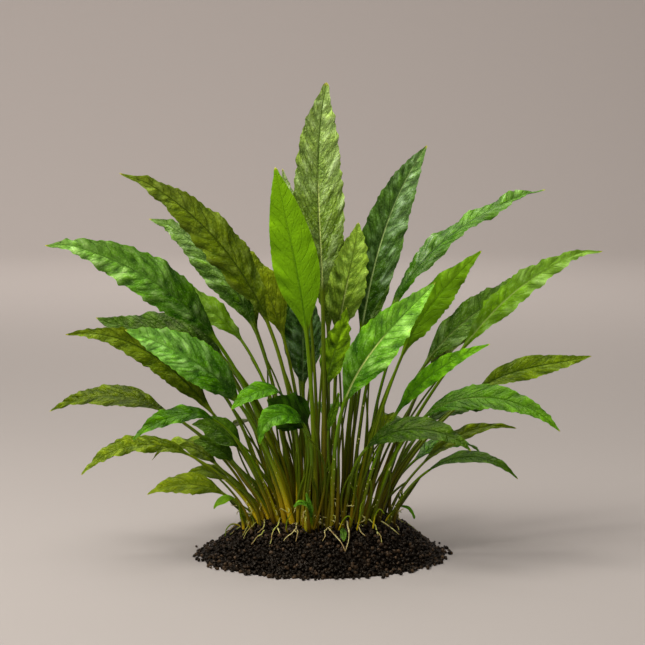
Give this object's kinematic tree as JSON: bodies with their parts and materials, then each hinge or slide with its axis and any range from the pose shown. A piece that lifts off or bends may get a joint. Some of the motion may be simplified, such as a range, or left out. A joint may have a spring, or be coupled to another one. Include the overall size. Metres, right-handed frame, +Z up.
{
  "type": "cryptocoryne plant",
  "caption": "Free-standing clump of lance-shaped aquarium plant leaves on slim stalks, rooted in a low round heap of black soil granules.",
  "frame": {"origin": "centre of the flat underside of the soil heap", "axes": "+Z up along the clump; -Y faces the viewer of the picture; +X to the viewer's right"},
  "size_m": [0.2773, 0.1731, 0.2371],
  "materials": {
    "leaf_mottled": "light mottled green, pale midrib, semi-gloss",
    "leaf_young": "fresh yellow-green, smooth, satin",
    "leaf_bright": "vivid mid green, glossy",
    "leaf_dark": "dark green, glossy",
    "leaf_olive": "olive green, semi-gloss",
    "leaf_yellowing": "yellow-green fading to yellow, satin",
    "soil": "near-black baked clay granules, matt"
  },
  "bodies": {
    "root": {"leaf_tallest": "leaf_mottled", "leaf_young_upright": "leaf_young", "leaf_short_upright": "leaf_mottled", "leaf_tall_dark": "leaf_dark", "leaf_dark_behind": "leaf_dark", "leaf_brown_tipped": "leaf_olive", "leaf_inner_green": "leaf_olive", "leaf_inner_small": "leaf_dark", "leaf_left_long": "leaf_bright", "leaf_left_shaded": "leaf_young", "leaf_left_high": "leaf_olive", "leaf_left_high_inner": "leaf_yellowing", "leaf_left_high_rear": "leaf_dark", "leaf_left_dark": "leaf_dark", "leaf_left_olive": "leaf_olive", "leaf_left_glossy": "leaf_bright", "leaf_left_drooping": "leaf_olive", "leaf_left_front": "leaf_bright", "leaf_left_broad_short": "leaf_dark", "leaf_left_folded": "leaf_dark", "leaf_left_low_inner": "leaf_olive", "leaf_left_low_rear": "leaf_olive", "leaf_left_arching": "leaf_yellowing", "leaf_left_lowest": "leaf_yellowing", "leaf_left_seedling": "leaf_young", "leaf_front_left_upper": "leaf_bright", "leaf_front_left_broad": "leaf_bright", "leaf_front_left_lower": "leaf_bright", "leaf_right_narrow": "leaf_bright", "leaf_right_upper": "leaf_young", "leaf_front_bright": "leaf_bright", "leaf_right_long": "leaf_young", "leaf_right_rear": "leaf_dark", "leaf_right_olive": "leaf_olive", "leaf_right_arching": "leaf_bright", "leaf_right_front": "leaf_bright", "leaf_right_inner": "leaf_olive", "leaf_right_thin": "leaf_olive", "leaf_front_right_drooping": "leaf_dark", "leaf_right_lowest": "leaf_dark", "leaf_rear_middle": "leaf_mottled", "leaf_rear_left_tall": "leaf_dark", "leaf_rear_right_tall": "leaf_dark", "leaf_rear_left_high": "leaf_olive", "leaf_rear_right_high": "leaf_bright", "leaf_rear_left_broad": "leaf_bright", "leaf_rear_right_broad": "leaf_olive", "leaf_rear_left_arching": "leaf_dark", "leaf_rear_right_arching": "leaf_dark", "leaf_rear_middle_low": "leaf_bright", "leaf_rear_left_low": "leaf_olive", "leaf_rear_right_low": "leaf_dark", "leaf_rear_left_lowest": "leaf_yellowing", "leaf_rear_right_lowest": "leaf_bright", "soil_heap": "soil"}
  },
  "joints": []
}
